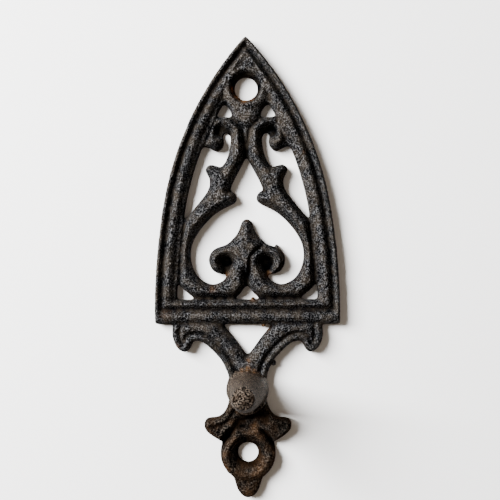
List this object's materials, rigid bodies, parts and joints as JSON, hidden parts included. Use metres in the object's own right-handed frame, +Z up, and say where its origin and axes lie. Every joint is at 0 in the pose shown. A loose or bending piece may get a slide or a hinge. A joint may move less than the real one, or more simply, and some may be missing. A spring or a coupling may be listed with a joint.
{
  "type": "wall hook",
  "caption": "Cast-iron wall hook: openwork pointed-arch back plate with scrolls, forked yoke, one projecting horn and screw holes at top and bottom.",
  "frame": {"origin": "where the horn's root axis meets the wall plane, on the plate's flat back", "axes": "+Z up the wall towards the arch's point, +Y into the wall, +X to the right as seen from the room"},
  "size_m": [0.0564, 0.0395, 0.1399],
  "materials": {
    "cast_iron": "rough sand-cast",
    "worn_iron": "handled smooth",
    "tail_iron": "rough, browned with rust"
  },
  "bodies": {
    "root": {"base_rail": "cast_iron", "apex_boss": "cast_iron", "top_stem": "cast_iron", "fleuron": "cast_iron", "neck": "worn_iron", "hook_horn": "worn_iron", "tail_eye": "tail_iron", "tail_tip": "tail_iron", "left_rim": "cast_iron", "right_rim": "cast_iron", "left_top_curl": "cast_iron", "right_top_curl": "cast_iron", "left_scroll": "cast_iron", "right_scroll": "cast_iron", "left_foot_scroll": "cast_iron", "right_foot_scroll": "cast_iron", "left_heart_curl": "cast_iron", "right_heart_curl": "cast_iron", "left_arm": "cast_iron", "right_arm": "cast_iron", "left_wing": "tail_iron", "right_wing": "tail_iron"}
  },
  "joints": []
}
